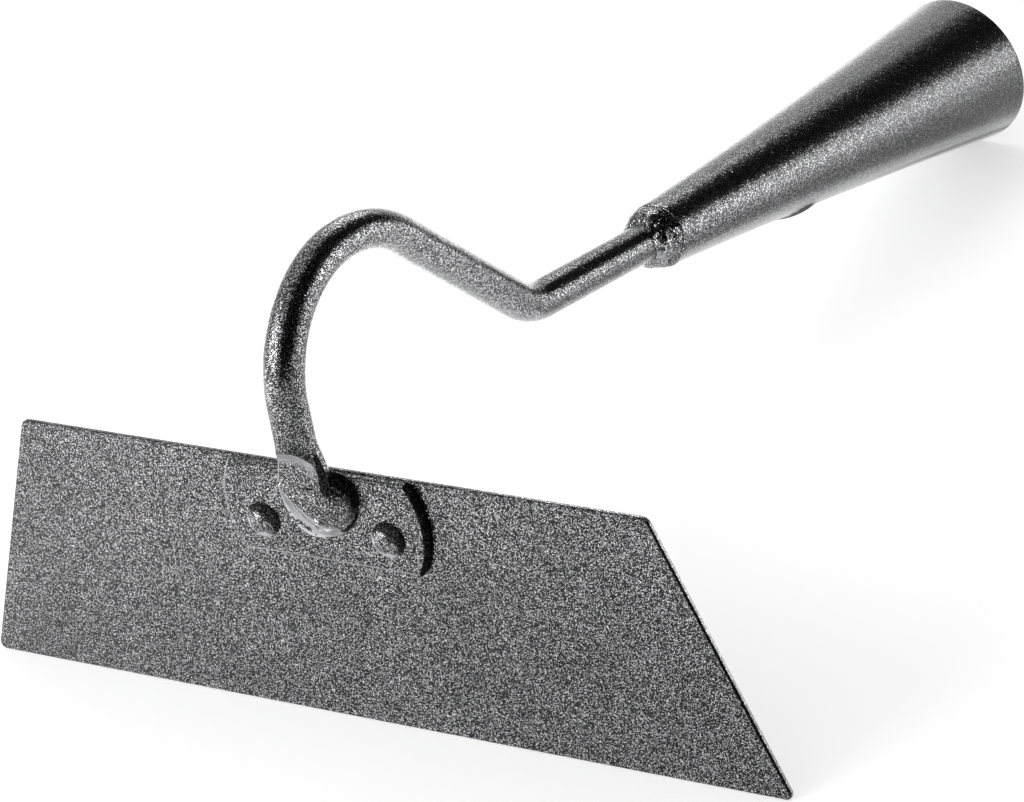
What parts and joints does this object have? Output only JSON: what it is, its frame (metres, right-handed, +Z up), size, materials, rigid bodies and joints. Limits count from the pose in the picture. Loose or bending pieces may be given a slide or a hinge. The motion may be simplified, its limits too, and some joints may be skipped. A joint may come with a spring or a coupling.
{
  "type": "draw hoe head",
  "caption": "Draw hoe head: flat trapezoid blade with a riveted reinforcing plate, welded to a bent round swan neck that carries an open conical socket for a wooden handle.",
  "frame": {"origin": "centre of the bounding box's bottom, on the surface that the head lies on: its cutting edge and the lowest point of the socket's mouth both touch it", "axes": "+X along the cutting edge, to the right as seen from the blade's front; +Y from the blade towards the socket's mouth; +Z up"},
  "size_m": [0.1986, 0.2698, 0.1032],
  "materials": {
    "coated_sheet": "silver-grey hammered metallic powder coat, fine bright and dark specks, satin gloss",
    "coated_rod": "the same silver-grey coat on round rod, a little glossier where it bends",
    "coated_rivet": "the same silver-grey coat over domed rivet heads",
    "coated_weld": "the same silver-grey coat over lumpy weld metal, with dark pits and creases"
  },
  "bodies": {
    "root": {"blade": "coated_sheet", "reinforcing_plate": "coated_sheet", "rivet_left": "coated_rivet", "rivet_right": "coated_rivet", "neck_rod": "coated_rod", "foot_weld": "coated_weld", "socket": "coated_sheet", "socket_weld": "coated_weld"}
  },
  "joints": []
}
